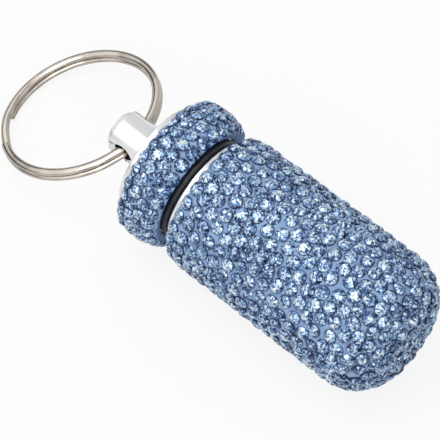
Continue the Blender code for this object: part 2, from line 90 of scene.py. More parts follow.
class Value:
    """A node's output that takes part in Python expressions, each of which adds its Math node."""

    def __init__(self, graph: "Graph", socket: bpy.types.NodeSocket | None) -> None:
        """Hold a socket, if there is one, and the graph that it belongs to."""
        self.graph = graph
        self.socket = socket

    def output(self, name: str | int) -> "Value":
        """Return another output of the same node."""
        return Value(self.graph, self.socket.node.outputs[name])

    def __add__(self, other: "Value | float") -> "Value":
        """Return the sum."""
        return self.graph.math("ADD", self, other)

    def __radd__(self, other: float) -> "Value":
        """Return the sum, with the number first."""
        return self.graph.math("ADD", other, self)

    def __sub__(self, other: "Value | float") -> "Value":
        """Return the difference."""
        return self.graph.math("SUBTRACT", self, other)

    def __rsub__(self, other: float) -> "Value":
        """Return the difference, with the number first."""
        return self.graph.math("SUBTRACT", other, self)

    def __mul__(self, other: "Value | float") -> "Value":
        """Return the product."""
        return self.graph.math("MULTIPLY", self, other)

    def __rmul__(self, other: float) -> "Value":
        """Return the product, with the number first."""
        return self.graph.math("MULTIPLY", other, self)

    def __truediv__(self, other: "Value | float") -> "Value":
        """Return the quotient."""
        return self.graph.math("DIVIDE", self, other)

    def __rtruediv__(self, other: float) -> "Value":
        """Return the quotient, with the number first."""
        return self.graph.math("DIVIDE", other, self)


Operand = Value | float


class Graph:
    """Writes a shader or geometry node tree."""

    def __init__(self, tree: bpy.types.NodeTree) -> None:
        """Take an empty tree."""
        self.tree = tree

    def node(
        self,
        kind: str,
        settings: dict[str, Any] | None = None,
        inputs: dict[str | int, Any] | None = None,
        output: str | int = 0,
    ) -> Value:
        """Add any node.

        Args:
            kind: The node's type.
            settings: Its own settings, or a colour ramp's stops as (place, colour) pairs.
            inputs: Values or links for its sockets, by name or by number.
            output: The output to return.

        Returns:
            The node's output, or an empty value where it has none.
        """
        made = self.tree.nodes.new(kind)
        for name, value in (settings or {}).items():
            if name == "stops":
                self.set_stops(made.color_ramp, value)
            else:
                setattr(made, name, value)
        for name, value in (inputs or {}).items():
            if isinstance(value, Value):
                self.tree.links.new(value.socket, made.inputs[name])
            else:
                made.inputs[name].default_value = value
        return Value(self, made.outputs[output] if made.outputs else None)

    @staticmethod
    def set_stops(ramp: bpy.types.ColorRamp, stops: Sequence[tuple[float, Colour]]) -> None:
        """Give a colour ramp its stops.

        Args:
            ramp: A new ramp, with its first two stops.
            stops: The places and colours, in order.
        """
        while len(ramp.elements) < len(stops):
            ramp.elements.new(1)
        for element, (place, colour) in zip(ramp.elements, stops):
            element.position = place
            element.color = (*colour, 1)

    def math(self, operation: str, *operands: Operand) -> Value:
        """Return a Math node's result on one to three operands."""
        return self.node("ShaderNodeMath", {"operation": operation}, dict(enumerate(operands)))

    def clamped(self, value: Value) -> Value:
        """Return a value held between 0 and 1."""
        return self.node("ShaderNodeClamp", {}, {"Value": value})

    def ramp(self, value: Value, start: Operand, width: Operand) -> Value:
        """Return 0 below a start, 1 past a width above it, and a straight rise between them."""
        return self.clamped((value - start) / width)

    def between(self, first: Operand, second: Operand, share: Value) -> Value:
        """Return what lies a share of the way from one value to another."""
        return first + share * (second - first)

    def hypot(self, across: Value, up: Value) -> Value:
        """Return the length of a vector in a plane, from its two parts."""
        return self.math("SQRT", across * across + up * up)

    def vector(self, x: Operand, y: Operand, z: Operand) -> Value:
        """Return a vector from its three parts."""
        return self.node("ShaderNodeCombineXYZ", {}, {0: x, 1: y, 2: z})

    def mixed(self, factor: Operand, first: Value | Colour, second: Value | Colour) -> Value:
        """Return a mix of two colours."""
        colours = [value if isinstance(value, Value) else (*value, 1) for value in (first, second)]
        return self.node("ShaderNodeMix", {"data_type": "RGBA"}, {0: factor, 6: colours[0], 7: colours[1]}, 2)

    def place(self) -> Value:
        """Return the Object coordinates."""
        return self.node("ShaderNodeTexCoord", output="Object")

    def noise(self, place: Value, grain: float, detail: float = 3) -> Value:
        """Return noise between 0 and 1.

        Args:
            place: The coordinates.
            grain: The size of its patches.
            detail: The number of finer layers.
        """
        return self.node("ShaderNodeTexNoise", {}, {"Vector": place, "Scale": 1 / grain, "Detail": detail})

    def principled(self, inputs: dict[str | int, Any]) -> Value:
        """Return a Principled shader."""
        return self.node("ShaderNodeBsdfPrincipled", {}, inputs)


class Finish:
    """A surface finish, which makes its material once."""

    slot: ClassVar[Slot]

    def shader(self, graph: Graph) -> Value:
        """Write the finish's nodes and return its shader."""
        raise NotImplementedError

    def material(self) -> bpy.types.Material:
        """Return the finish's material."""
        name = f"{self.slot.value}_finish"
        made = bpy.data.materials.get(name)
        if made is None:
            made = bpy.data.materials.new(name)
            made.use_nodes = True
            made.node_tree.nodes.clear()
            graph = Graph(made.node_tree)
            graph.node("ShaderNodeOutputMaterial", {}, {"Surface": self.shader(graph)})
        return made


@dataclass(frozen=True)
class Patches:
    """Soft patches, which lie where noise rises above a level."""

    size: float
    level: float
    contrast: float
    detail: float = 3

    def mask(self, graph: Graph, place: Value) -> Value:
        """Return 1 in the patches and 0 between them."""
        return graph.clamped((graph.noise(place, self.size, self.detail) - self.level) * self.contrast)


@dataclass(frozen=True)
class Relief:
    """Relief that is too small to model."""

    depth: float
    strength: float

    def normal(self, graph: Graph, height: Value) -> Value:
        """Return the surface's normal, from the relief's height as a share of its depth."""
        inputs = {"Height": height, "Distance": self.depth, "Strength": self.strength}
        return graph.node("ShaderNodeBump", {}, inputs)


@dataclass(frozen=True)
class PolishedAluminium(Finish):
    """Bright turned aluminium, with the fine rings that a lathe tool leaves and faint smudges."""

    slot: ClassVar[Slot] = Slot.ALUMINIUM
    axis_z: float
    colour: Colour = (0.94, 0.943, 0.95)
    dull_colour: Colour = (0.87, 0.875, 0.885)
    smudges: Patches = Patches(size=0.004, level=0.45, contrast=4, detail=4)
    ring_pitch: float = 0.00022
    ring_detail: float = 3
    ring_relief: Relief = Relief(depth=0.00001, strength=0.35)
    roughness: float = 0.13
    roughness_spread: float = 0.12

    def shader(self, graph: Graph) -> Value:
        """Return metal whose rings follow the distance along and from the long axis."""
        place = graph.place()
        parts = graph.node("ShaderNodeSeparateXYZ", {}, {0: place})
        radius = graph.hypot(parts.output(1), parts.output(2) - self.axis_z)
        inputs = {"W": (parts + radius) / self.ring_pitch, "Scale": 1, "Detail": self.ring_detail}
        rings = graph.node("ShaderNodeTexNoise", {"noise_dimensions": "1D"}, inputs)
        dull = self.smudges.mask(graph, place)
        return graph.principled({
            "Base Color": graph.mixed(dull, self.colour, self.dull_colour),
            "Metallic": 1,
            "Roughness": self.roughness + self.roughness_spread * dull * rings,
            "Normal": self.ring_relief.normal(graph, rings),
        })


@dataclass(frozen=True)
class NickelPlate(Finish):
    """Warm bright nickel on drawn wire, with faint draw marks and random darker, rougher patches."""

    slot: ClassVar[Slot] = Slot.NICKEL
    colour: Colour = (0.6, 0.55, 0.49)
    dark_patch_colour: Colour = (0.4, 0.36, 0.32)
    dark_patches: Patches = Patches(size=0.0025, level=0.42, contrast=3.5)
    mark_size: float = 0.00035
    mark_relief: Relief = Relief(depth=0.00002, strength=0.2)
    roughness: float = 0.08
    roughness_spread: float = 0.12

    def shader(self, graph: Graph) -> Value:
        """Return metal with random darker, rougher patches and fine marks."""
        place = graph.place()
        dark_patches = self.dark_patches.mask(graph, place)
        marks = graph.noise(place, self.mark_size)
        return graph.principled({
            "Base Color": graph.mixed(dark_patches, self.colour, self.dark_patch_colour),
            "Metallic": 1,
            "Roughness": self.roughness + self.roughness_spread * dark_patches * marks,
            "Normal": self.mark_relief.normal(graph, marks),
        })


@dataclass(frozen=True)
class BlackRubber(Finish):
    """Moulded black rubber with a fine grain and a dusting where it is handled."""

    slot: ClassVar[Slot] = Slot.RUBBER
    colour: Colour = (0.012, 0.012, 0.013)
    dust_colour: Colour = (0.045, 0.043, 0.042)
    dust: Patches = Patches(size=0.003, level=0.4, contrast=2.5, detail=4)
    grain_size: float = 0.00018
    grain_relief: Relief = Relief(depth=0.00002, strength=0.4)
    roughness: float = 0.34
    roughness_spread: float = 0.2

    def shader(self, graph: Graph) -> Value:
        """Return satin rubber."""
        place = graph.place()
        dust = self.dust.mask(graph, place)
        return graph.principled({
            "Base Color": graph.mixed(dust, self.colour, self.dust_colour),
            "Roughness": self.roughness + self.roughness_spread * dust,
            "Normal": self.grain_relief.normal(graph, graph.noise(place, self.grain_size)),
        })


@dataclass(frozen=True)
class Putty(Finish):
    """Set modelling putty, grey-blue and matt, a little uneven in tone where it was pressed."""

    slot: ClassVar[Slot] = Slot.PUTTY
    colour: Colour = (0.24, 0.38, 0.64)
    pale_colour: Colour = (0.33, 0.48, 0.74)
    patches: Patches = Patches(size=0.0022, level=0.35, contrast=3)
    grain_size: float = 0.00035
    grain_relief: Relief = Relief(depth=0.00004, strength=0.5)
    roughness: float = 0.5
    roughness_spread: float = 0.2

    def shader(self, graph: Graph) -> Value:
        """Return matt putty with patches and a fine grain."""
        place = graph.place()
        grain = graph.noise(place, self.grain_size)
        return graph.principled({
            "Base Color": graph.mixed(self.patches.mask(graph, place), self.colour, self.pale_colour),
            "Roughness": self.roughness + self.roughness_spread * grain,
            "Normal": self.grain_relief.normal(graph, grain),
        })


@dataclass(frozen=True)
class FoiledStones(Finish):
    """Light sapphire glass over foil, made opaque: a star of shards of painted internal reflection, from navy
    painted shade to white painted glints, inside a rim of painted shade.

    Each stone carries its own coordinates, in its girdle's radii, so that the star follows the stone.
    """

    slot: ClassVar[Slot] = Slot.STONES
    place_name: str = "stone_place"
    light_name: str = "facet_light"
    tint_name: str = "stone_tint"
    wedges: float = 3.2
    wedge_rings: float = 1.4
    chips: float = 4.6
    pattern_range: float = 61
    chip_pattern: float = 7
    centre_wander: float = 0.24
    wedge_share: float = 0.72
    chip_share: float = 0.74
    tint_share: float = 0.2
    rim_start: float = 0.87
    rim_end: float = 0.98
    rim_shade_depth: float = 0.7
    least_radius: float = 0.03
    metallic: float = 0.3
    roughness: float = 0.12
    gloss: float = 0.25
    coat: float = 0.16
    coat_roughness: float = 0.04
    # The ramp runs from the navy of painted shade to the white of painted glints.
    stops: tuple[tuple[float, Colour], ...] = (
        (0.0, (0.014, 0.028, 0.08)),
        (0.2, (0.042, 0.082, 0.2)),
        (0.4, (0.1, 0.182, 0.375)),
        (0.58, (0.21, 0.365, 0.62)),
        (0.74, (0.4, 0.62, 0.83)),
        (0.88, (0.68, 0.88, 0.98)),
        (1.0, (0.95, 1.0, 1.0)),
    )

    def shards(self, graph: Graph, place: Value, turn: Value) -> Value:
        """Return a random number for each shard of a stone's painted reflection.

        Args:
            graph: The material's graph.
            place: The coordinates that the shards are cells of.
            turn: A number that differs from stone to stone and from one layer of shards to another.
        """
        inputs = {"Vector": place, "W": turn, "Scale": 1}
        cells = graph.node("ShaderNodeTexVoronoi", {"voronoi_dimensions": "4D"}, inputs, "Color")
        return graph.node("ShaderNodeSeparateColor", {}, {0: cells})

    def shader(self, graph: Graph) -> Value:
        """Return glossy facets, each with its own painted light, over the star of painted reflection, with
        painted shade at the rim.
        """
        facet = graph.node("ShaderNodeAttribute", {"attribute_name": self.light_name}, output="Fac")
        tint = graph.node("ShaderNodeAttribute", {"attribute_name": self.tint_name}, output="Fac")
        place = graph.node("ShaderNodeAttribute", {"attribute_name": self.place_name}, output="Vector")
        parts = graph.node("ShaderNodeSeparateXYZ", {}, {0: place})
        across, up = parts, parts.output(1)
        radius = graph.hypot(across, up)
        turn = tint * self.pattern_range
        across = across - self.centre_wander * graph.math("COSINE", turn)
        up = up - self.centre_wander * graph.math("SINE", turn)
        reach = graph.math("MAXIMUM", graph.hypot(across, up), self.least_radius)
        spokes = [part / reach * self.wedges for part in (across, up)]
        wedges = self.shards(graph, graph.vector(*spokes, reach * self.wedge_rings), turn)
        chip_place = graph.vector(across * self.chips, up * self.chips, parts.output(2))
        chips = self.shards(graph, chip_place, turn + self.chip_pattern)
        # Painted shade: each stone darkens towards its rim.
        rim = graph.ramp(radius, self.rim_start, self.rim_end - self.rim_start)
        # Painted light: the facet's own light and the flecks of the wedges and chips stand in for the foil's
        # internal reflections and glints.
        light = facet + self.wedge_share * (wedges - 0.5) + self.chip_share * (chips - 0.5)
        light = (light + self.tint_share * (tint - 0.5)) * (1 - self.rim_shade_depth * rim)
        return graph.principled({
            "Base Color": graph.node("ShaderNodeValToRGB", {"stops": self.stops}, {0: graph.clamped(light)}),
            "Metallic": self.metallic,
            "Roughness": self.roughness,
            "Specular IOR Level": self.gloss,
            "Coat Weight": self.coat,
            "Coat Roughness": self.coat_roughness,
        })


class GeometryTree(Graph):
    """A geometry node tree with named inputs, run once on an object and turned into a plain mesh."""

    def __init__(self, name: str) -> None:
        """Make the tree with its geometry input and output."""
        super().__init__(bpy.data.node_groups.new(name, "GeometryNodeTree"))
        self.tree.interface.new_socket("Geometry", in_out="INPUT", socket_type="NodeSocketGeometry")
        self.tree.interface.new_socket("Geometry", in_out="OUTPUT", socket_type="NodeSocketGeometry")
        self.values: dict[str, Any] = {}
        self.source = self.node("NodeGroupInput")

    def given(self, name: str, kind: str, value: Any) -> Value:
        """Add a named input.

        Args:
            name: What the input is called.
            kind: Its socket type.
            value: What the modifier sets it to.

        Returns:
            The input inside the tree.
        """
        socket = self.tree.interface.new_socket(name, in_out="INPUT", socket_type=kind)
        self.values[socket.identifier] = value
        return self.source.output(name)

    def number(self, name: str, value: float) -> Value:
        """Add a named number."""
        return self.given(name, "NodeSocketFloat", value)

    def count(self, name: str, value: int) -> Value:
        """Add a named whole number."""
        return self.given(name, "NodeSocketInt", value)

    def random(self, low: Operand, high: Operand, seed: Value | int) -> Value:
        """Return a random number for each element, the same in each run."""
        return self.node("FunctionNodeRandomValue", {"data_type": "FLOAT"}, {2: low, 3: high, 8: seed}, 1)

    def named(self, name: str, kind: str = "FLOAT") -> Value:
        """Return what is stored on the geometry under a name."""
        return self.node("GeometryNodeInputNamedAttribute", {"data_type": kind}, {"Name": name})

    def stored(self, geometry: Value, domain: str, name: str, value: Value) -> Value:
        """Return the geometry with a number stored on it under a name."""
        settings = {"data_type": "FLOAT", "domain": domain}
        inputs = {"Geometry": geometry, "Name": name, "Value": value}
        return self.node("GeometryNodeStoreNamedAttribute", settings, inputs)

    def finish(self, geometry: Value, material: bpy.types.Material) -> None:
        """Give the geometry its material, which is a named input too, and send it to the tree's output."""
        finish = self.given("Finish", "NodeSocketMaterial", material)
        dressed = self.node("GeometryNodeSetMaterial", {}, {"Geometry": geometry, "Material": finish})
        self.node("NodeGroupOutput", {}, {0: dressed})

    def run(self, piece: bpy.types.Object) -> bpy.types.Object:
        """Run the tree on an object.

        Args:
            piece: The object, whose mesh is the tree's geometry input.

        Returns:
            The same object with the result as its plain mesh.
        """
        modifier = piece.modifiers.new(self.tree.name, "NODES")
        modifier.node_group = self.tree
        for identifier, value in self.values.items():
            modifier[identifier] = value
        return as_plain_mesh(piece)


def as_plain_mesh(piece: bpy.types.Object) -> bpy.types.Object:
    """Replace an object's mesh and modifiers with their evaluated result.

    Args:
        piece: An object with live modifiers.

    Returns:
        The same object.
    """
    bpy.context.view_layer.update()
    evaluated = piece.evaluated_get(bpy.context.evaluated_depsgraph_get())
    mesh = bpy.data.meshes.new_from_object(evaluated)
    piece.modifiers.clear()
    piece.data = mesh
    mesh.name = piece.name
    return piece


def mesh_object(
    name: str, vertices: np.ndarray, faces: Iterable[Sequence[int]], material: bpy.types.Material | None
) -> bpy.types.Object:
    """Make an object from points and faces.

    Args:
        name: The object's name.
        vertices: One row of x, y and z for each point.
        faces: The points of each face.
        material: Its material, if it has one yet.

    Returns:
        The object, linked to the scene.
    """
    mesh = bpy.data.meshes.new(name)
    mesh.from_pydata(vertices.tolist(), [], [tuple(int(corner) for corner in face) for face in faces])
    if material is not None:
        mesh.materials.append(material)
    made = bpy.data.objects.new(name, mesh)
    bpy.context.scene.collection.objects.link(made)
    return made


def store_vectors(piece: bpy.types.Object, name: str, vectors: np.ndarray) -> None:
    """Store a vector on each of an object's points under a name."""
    attribute = piece.data.attributes.new(name, "FLOAT_VECTOR", "POINT")
    attribute.data.foreach_set("vector", vectors.astype(np.float32).ravel())


def face_outwards(piece: bpy.types.Object) -> None:
    """Turn the faces of a closed solid outwards."""
    data = bmesh.new()
    data.from_mesh(piece.data)
    bmesh.ops.recalc_face_normals(data, faces=data.faces)
    data.to_mesh(piece.data)
    data.free()


def settle(
    piece: bpy.types.Object, body: Body, node: str, sharp_angle: float | None = None
) -> None:
    """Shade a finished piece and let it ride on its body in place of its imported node.

    Args:
        piece: The piece, in place and with its material.
        body: The body that it moves with.
        node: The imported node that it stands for.
        sharp_angle: The angle in degrees past which its edges stay sharp, unless it is all flat facets.
    """
    if sharp_angle is not None:
        piece.data.shade_smooth()
        piece.data.set_sharp_from_angle(angle=math.radians(sharp_angle))
    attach(piece, body.value)
    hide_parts(node)
    triangles = sum(len(face.vertices) - 2 for face in piece.data.polygons)
    log.info("%s: %d triangles on %s", piece.name, triangles, body.value)


def around(steps: int) -> np.ndarray:
    """Return the angles of evenly spaced steps round a turn."""
    return np.arange(steps) * TURN / steps


def fading(distance: np.ndarray, reach: float) -> np.ndarray:
    """Return shares that fall from 1 at no distance to 0 at the reach and past it."""
    return np.clip(1 - distance / reach, 0, 1)


def eased(share: float | np.ndarray) -> float | np.ndarray:
    """Return a share between 0 and 1 that sets off and arrives softly."""
    return share * share * (3 - 2 * share)


def arc(centre: tuple[float, float], radius: float, start: float, end: float, steps: int) -> Profile:
    """Return an arc of a profile.

    Args:
        centre: Its centre, along and from the axis.
        radius: Its radius.
        start: The angle of its first point in degrees, from straight out towards the closed end.
        end: The angle of its last point in degrees.
        steps: The number of its steps.

    Returns:
        The points, along and from the axis.
    """
    along, out = centre
    angles = np.radians(np.linspace(start, end, steps + 1))
    return [(along + radius * math.sin(angle), out + radius * math.cos(angle)) for angle in angles]


@dataclass(frozen=True)
class Thread:
    """A screw thread's ridge on a round wall, right-handed and fading out at both ends."""

    start: float
    wall_radius: float
    crest_radius: float
    pitch: float = 0.0015
    turns: float = 2.5
    crest_width: float = 0.00025
    root_width: float = 0.00075
    fade_turns: float = 0.25
    steps_per_pitch: int = 16

    def wall(self) -> Profile:
        """Return the wall's points over the stretch that the ridge covers."""
        low = self.start - self.root_width
        high = self.start + self.turns * self.pitch + self.root_width
        steps = math.ceil((high - low) / self.pitch * self.steps_per_pitch)
        return [(along, self.wall_radius) for along in np.linspace(low, high, steps + 1)]

    def radii(self, along: float, angles: np.ndarray) -> np.ndarray:
        """Return the wall's radius at one place along it.

        Args:
            along: The place along the axis.
            angles: The angles round the axis.

        Returns:
            A radius for each angle.
        """
        turn = angles / TURN
        nearest = turn + np.round((along - self.start) / self.pitch - turn)
        off = np.abs(along - self.start - nearest * self.pitch)
        flank = (self.root_width / 2 - off) / (self.root_width - self.crest_width) * 2
        fade = np.minimum(nearest, self.turns - nearest) / self.fade_turns
        rise = np.clip(flank, 0, 1) * np.clip(fade, 0, 1)
        return self.wall_radius + rise * (self.crest_radius - self.wall_radius)


@dataclass(frozen=True)
class Axis:
    """The capsule's long axis, which its turned pieces are turned about."""

    seal_x: float
    height: float

    def extent(self, node: str) -> tuple[float, float, float]:
        """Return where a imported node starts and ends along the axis, and its radius."""
        low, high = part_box(node)
        return low.x - self.seal_x, high.x - self.seal_x, (high.y - low.y) / 2

    @staticmethod
    def directions(along: np.ndarray, out: np.ndarray, angle: np.ndarray) -> np.ndarray:
        """Return world directions from their parts along and out from the axis, at angles round it."""
        along, out, angle = np.broadcast_arrays(along, out, angle)
        return np.stack([along, out * np.cos(angle), out * np.sin(angle)], -1)

    def points(self, along: np.ndarray, radius: np.ndarray, angle: np.ndarray) -> np.ndarray:
        """Return world places from places along, from and round the axis."""
        return self.directions(along, radius, angle) + (self.seal_x, 0, self.height)

    def measured(self, places: np.ndarray) -> tuple[np.ndarray, np.ndarray, np.ndarray]:
        """Return how far world places are along, from and round the axis."""
        y, z = places[:, 1], places[:, 2] - self.height
        return places[:, 0] - self.seal_x, np.hypot(y, z), np.arctan2(z, y)

    def ring(self, along: float, radius: float, angles: np.ndarray) -> np.ndarray:
        """Return the points round one place along the axis, or the one pole where the radius is 0."""
        return self.points(along, radius, angles if radius > 0 else angles[:1])

    def turned(
        self, name: str, profile: Profile, steps: int, material: bpy.types.Material,
        closed: bool = False, thread: Thread | None = None,
    ) -> bpy.types.Object:
        """Turn a closed solid.

        Args:
            name: The object's name.
            profile: Points along and from the axis, from one pole to the other or round a ring's section.
            steps: The number of steps in a turn.
            material: The material.
            closed: Whether the profile closes on itself.
            thread: A ridge on the stretch of the profile that is its wall.

        Returns:
            The object, with its faces outwards.
        """
        angles = around(steps)
        wall = set(thread.wall()) if thread else set()
        rows = [
            self.points(along, thread.radii(along, angles), angles) if (along, radius) in wall
            else self.ring(along, radius, angles)
            for along, radius in profile
        ]
        return loft(name, rows, material, closed)


def numbered(rows: Sequence[np.ndarray]) -> list[np.ndarray]:
    """Return the numbers of the points in each row, counted on from row to row."""
    starts = np.cumsum([0, *(len(row) for row in rows)])
    return [start + np.arange(len(row)) for start, row in zip(starts, rows)]


def ring_faces(first: np.ndarray, second: np.ndarray) -> list[tuple[int, ...]]:
    """Return the faces between two rings of points, each of which may be one pole."""
    steps = np.arange(max(len(first), len(second)))
    pairs = list(zip(steps, np.roll(steps, -1)))
    if len(pairs) == 1:
        return []
    if len(first) == 1:
        return [(first[0], second[after], second[here]) for here, after in pairs]
    if len(second) == 1:
        return [(first[here], first[after], second[0]) for here, after in pairs]
    return [(first[here], first[after], second[after], second[here]) for here, after in pairs]


def loft(
    name: str, rows: Sequence[np.ndarray], material: bpy.types.Material | None, closed: bool = False
) -> bpy.types.Object:
    """Skin a solid over rows of points.

    Args:
        name: The object's name.
        rows: The points of each row, which are a full ring or one pole.
        material: Its material, if it has one.
        closed: Whether the last row meets the first. Where it doesn't, a ring at either end is filled.

    Returns:
        The object, with its faces outwards.
    """
    rings = numbered(rows)
    ends = [] if closed else [rings[0], rings[-1]]
    faces = [tuple(ring) for ring in ends if len(ring) > 1]
    following = rings[1:] + rings[:1] if closed else rings[1:]
    for first, second in zip(rings, following):
        faces += ring_faces(first, second)
    piece = mesh_object(name, np.concatenate(rows), faces, material)
    face_outwards(piece)
    return piece


class Outline:
    """The line that a coat's stones lie on, from the key ring's side to the closed end's."""

    def __init__(self, points: Profile) -> None:
        """Measure the distance to each point."""
        self.points = np.array(points)
        steps = np.linalg.norm(np.diff(self.points, axis=0), axis=1)
        self.reach = np.concatenate([[0], np.cumsum(steps)])
        self.length = float(self.reach[-1])

    def at(self, distance: np.ndarray) -> tuple[np.ndarray, np.ndarray]:
        """Return the places and outward directions at distances along the line.

        Args:
            distance: The distances.

        Returns:
            Places and unit directions, each along and from the axis.
        """
        tangents = np.gradient(self.points, self.reach, axis=0)
        places, along = (
            np.stack([np.interp(distance, self.reach, table[:, part]) for part in (0, 1)], -1)
            for table in (self.points, tangents)
        )
        outwards = np.stack([-along[..., 1], along[..., 0]], -1)
        return places, outwards / np.linalg.norm(outwards, axis=-1, keepdims=True)

    def nearest(self, places: np.ndarray, samples: int = 900) -> np.ndarray:
        """Return the distances along the line at which it comes nearest to some places."""
        distance = np.linspace(0, self.length, samples)
        line, _ = self.at(distance)
        gaps = np.linalg.norm(places[:, None] - line[None], axis=-1)
        return distance[gaps.argmin(axis=1)]


@dataclass(frozen=True)
class StoneCut:
    """A pointed-back round stone: table, stars, kites and upper facets over a narrow girdle.

    The facets' painted lights, which stand in for internal reflections, are given in that order, and then the
    girdle's and the back's, nearly black as painted shade.
    """

    radius: float = 0.00113
    crown_height: float = 0.00046
    girdle_height: float = 0.0001
    back_height: float = 0.0006
    table_share: float = 0.5
    star_share: float = 0.78
    sides: int = 8
    # Painted light for each kind of facet, and painted shade on the girdle and the back.
    facet_lights: tuple[float, ...] = (0.48, 0.45, 0.43, 0.36, 0.02, 0.0)

    def rings(self) -> tuple[np.ndarray, ...]:
        """Return the points of the table, the stars, the girdle's two edges and the back's tip."""
        corner = around(self.sides)
        between = corner + TURN / self.sides / 2
        girdle = around(2 * self.sides)
        drop = (self.star_share * math.cos(math.pi / self.sides) - self.table_share) / (1 - self.table_share)
        levels = (
            (corner, self.table_share, self.crown_height),
            (between, self.star_share, self.crown_height * (1 - drop)),
            (girdle, 1, 0),
            (girdle, 1, -self.girdle_height),
            (girdle[:1], 0, -self.back_height),
        )
        return tuple(
            np.stack([
                self.radius * share * np.cos(angle),
                self.radius * share * np.sin(angle),
                np.full(len(angle), height),
            ], -1)
            for angle, share, height in levels
        )

    def template(self, finish: FoiledStones) -> bpy.types.Object:
        """Return one stone, centred on its girdle with its table up, with what its finish reads.

        Args:
            finish: The finish that reads each facet's own light and the place on the stone.
        """
        rings = self.rings()
        table, star, girdle, under, tip = numbered(rings)
        stars: list[tuple[int, ...]] = []
        kites: list[tuple[int, ...]] = []
        uppers: list[tuple[int, ...]] = []
        backs: list[tuple[int, ...]] = []
        for side in range(self.sides):
            after = (side + 1) % self.sides
            left, middle, right = 2 * side, 2 * side + 1, 2 * after
            stars.append((table[side], star[side], table[after]))
            kites.append((table[side], star[side - 1], girdle[left], star[side]))
            uppers.append((star[side], girdle[left], girdle[middle]))
            uppers.append((star[side], girdle[middle], girdle[right]))
            backs.append((tip[0], under[right], under[middle], under[left]))
        kinds = ([tuple(table)], stars, kites, uppers, ring_faces(under, girdle), backs)
        points = np.concatenate(rings)
        made = mesh_object("stone_template", points, [face for kind in kinds for face in kind], None)
        face_outwards(made)
        lights = [light for kind, light in zip(kinds, self.facet_lights) for _ in kind]
        made.data.attributes.new(finish.light_name, "FLOAT", "FACE").data.foreach_set("value", lights)
        store_vectors(made, finish.place_name, points / self.radius)
        return made


